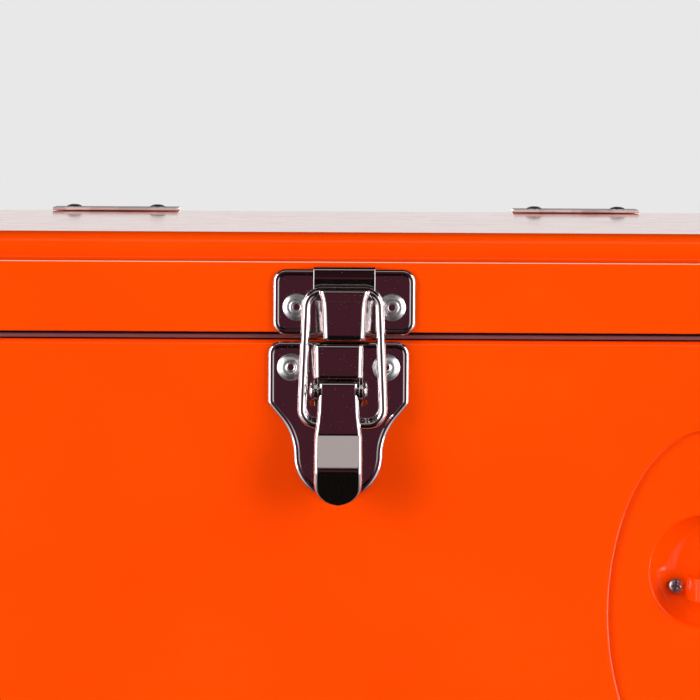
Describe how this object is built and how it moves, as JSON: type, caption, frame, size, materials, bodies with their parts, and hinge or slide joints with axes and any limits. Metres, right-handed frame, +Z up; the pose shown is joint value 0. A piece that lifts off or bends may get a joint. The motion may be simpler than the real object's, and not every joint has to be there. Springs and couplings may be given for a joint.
{
  "type": "insulated cooler chest",
  "caption": "Painted steel picnic cooler chest with moulded tub, hinged lid, chromed toggle latch, drop side handles, recessed bottle opener and drain.",
  "frame": {"origin": "centre of the whole chest's bounding box at the underside of the feet", "axes": "+Z up, -Y out of the front that carries the latch, +X to the right of someone facing the front"},
  "size_m": [0.469, 0.3137, 0.3412],
  "materials": {
    "orange_paint": "high gloss orange enamel",
    "white_plastic": "satin moulded",
    "foam": "rigid closed-cell foam",
    "aluminium": "bright drawn",
    "black_rubber": "matte",
    "black_plastic": "satin moulded",
    "zinc_steel": "zinc plated",
    "chrome": "polished chrome plate"
  },
  "bodies": {
    "chest": {"base_pan": "zinc_steel", "body_hinge_leaf_left": "chrome", "body_hinge_leaf_right": "chrome", "body_hinge_rivet_left_inner": "aluminium", "body_hinge_rivet_left_outer": "aluminium", "body_hinge_rivet_right_inner": "aluminium", "body_hinge_rivet_right_outer": "aluminium", "body_insulation": "foam", "body_shell": "orange_paint", "drain_nut": "white_plastic", "drain_spout": "white_plastic", "drain_washer": "black_rubber", "foot_front_left": "black_rubber", "foot_front_right": "black_rubber", "foot_rear_left": "black_rubber", "foot_rear_right": "black_rubber", "handle_bracket_left": "chrome", "handle_bracket_right": "chrome", "handle_rivet_left_front": "aluminium", "handle_rivet_left_rear": "aluminium", "handle_rivet_right_front": "aluminium", "handle_rivet_right_rear": "aluminium", "hinge_pin_left": "zinc_steel", "hinge_pin_right": "zinc_steel", "latch_base": "chrome", "latch_pivot_pin": "chrome", "latch_rivet_left": "aluminium", "latch_rivet_right": "aluminium", "liner_tub": "white_plastic", "opener_claw": "orange_paint", "opener_screw_left": "zinc_steel", "opener_screw_right": "zinc_steel"},
    "lid": {"keeper_plate": "chrome", "keeper_rivet_left": "aluminium", "keeper_rivet_right": "aluminium", "lid_gasket": "black_rubber", "lid_hinge_leaf_left": "chrome", "lid_hinge_leaf_right": "chrome", "lid_hinge_rivet_left_inner": "aluminium", "lid_hinge_rivet_left_outer": "aluminium", "lid_hinge_rivet_right_inner": "aluminium", "lid_hinge_rivet_right_outer": "aluminium", "lid_insulation": "foam", "lid_liner": "white_plastic", "lid_shell": "orange_paint"},
    "latch_lever": {"latch_lever": "chrome"},
    "latch_bail": {"latch_bail": "chrome"},
    "drain_cap": {"drain_cap": "black_plastic"},
    "handle_left": {"handle_rod_left": "chrome", "handle_grip_left": "black_plastic"},
    "handle_right": {"handle_rod_right": "chrome", "handle_grip_right": "black_plastic"}
  },
  "joints": [
    {"name": "lid_hinge", "type": "hinge", "parent": "chest", "child": "lid", "pos_m": [0, 0.15395, 0.30335], "axis": [-1, 0, 0], "range_deg": [0, 105]},
    {"name": "lever_swing", "type": "hinge", "parent": "chest", "child": "latch_lever", "pos_m": [-0.0018, -0.14935, 0.28555], "axis": [-1, 0, 0], "range_deg": [0, 105]},
    {"name": "bail_swing", "type": "hinge", "parent": "latch_lever", "child": "latch_bail", "pos_m": [-0.0004, -0.14815, 0.27405], "axis": [-1, 0, 0], "range_deg": [-87, 0]},
    {"name": "left_handle_swing", "type": "hinge", "parent": "chest", "child": "handle_left", "pos_m": [-0.226, 0.00465, 0.228], "axis": [0, 1, 0], "range_deg": [0, 95]},
    {"name": "right_handle_swing", "type": "hinge", "parent": "chest", "child": "handle_right", "pos_m": [0.226, 0.00465, 0.228], "axis": [0, -1, 0], "range_deg": [0, 95]},
    {"name": "drain_cap_turn", "type": "hinge", "parent": "chest", "child": "drain_cap", "pos_m": [-0.212, 0.07465, 0.0586], "axis": [-1, 0, 0], "continuous": true}
  ],
  "couplings": [
    {"joint": "bail_swing", "follows": "lever_swing", "ratio": -0.82}
  ]
}
